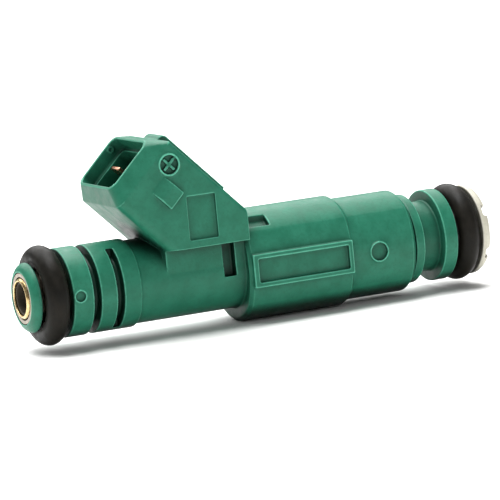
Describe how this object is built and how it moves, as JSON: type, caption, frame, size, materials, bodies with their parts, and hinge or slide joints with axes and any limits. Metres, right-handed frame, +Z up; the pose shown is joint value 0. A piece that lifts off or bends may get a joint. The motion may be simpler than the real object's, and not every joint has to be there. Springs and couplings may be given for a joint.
{
  "type": "fuel injector",
  "caption": "Top-feed fuel injector with a slanted electrical connector, a sprung needle valve and a seal at each end.",
  "frame": {"origin": "centre of the bounding box's underside, with the axis level and the connector up", "axes": "+X along the injector's axis towards the spray end, +Z up towards the connector, Y across"},
  "size_m": [0.072, 0.0162, 0.0286],
  "materials": {
    "green_plastic": "satin moulded glass-filled nylon",
    "black_rubber": "moulded fluoro-rubber, slight sheen",
    "cap_plastic": "off-white moulded plastic",
    "tube_steel": "drawn stainless tube",
    "collar_brass": "turned bright brass",
    "terminal_copper": "tin-worn copper alloy blade",
    "coil_copper": "enamelled winding wire",
    "bobbin_nylon": "black moulded nylon",
    "filter_nylon": "natural moulded nylon",
    "filter_gauze": "fine woven gauze",
    "magnetic_steel": "machined magnetic steel",
    "valve_steel": "ground stainless steel",
    "spring_steel": "spring wire"
  },
  "bodies": {
    "injector_body": {"overmoulded_housing": "green_plastic", "inlet_support_ring": "green_plastic", "lower_support_ring": "green_plastic", "upper_o_ring": "black_rubber", "lower_o_ring": "black_rubber", "upper_bobbin_seal": "black_rubber", "lower_bobbin_seal": "black_rubber", "pintle_cap": "cap_plastic", "inlet_tube": "tube_steel", "filter_collar": "collar_brass", "terminal_blade_left": "terminal_copper", "terminal_blade_right": "terminal_copper", "coil_winding": "coil_copper", "coil_bobbin": "bobbin_nylon", "filter_frame": "filter_nylon", "filter_mesh": "filter_gauze", "pole_core": "magnetic_steel", "flux_housing": "magnetic_steel", "flux_washer": "magnetic_steel", "adjusting_sleeve": "valve_steel", "non_magnetic_ring": "valve_steel", "stop_washer": "valve_steel", "valve_body": "valve_steel", "guide_ring": "valve_steel", "valve_seat": "valve_steel", "orifice_disc": "valve_steel", "return_spring": "spring_steel"},
    "needle_assembly": {"armature": "magnetic_steel", "valve_needle": "valve_steel", "valve_ball": "valve_steel"}
  },
  "joints": [
    {"name": "needle_lift", "type": "slide", "parent": "injector_body", "child": "needle_assembly", "axis": [-1, 0, 0], "range_m": [0, 0.0001], "stiffness_N_per_m": 2000, "springref_m": -0.0015, "deforming": ["return_spring"]}
  ]
}
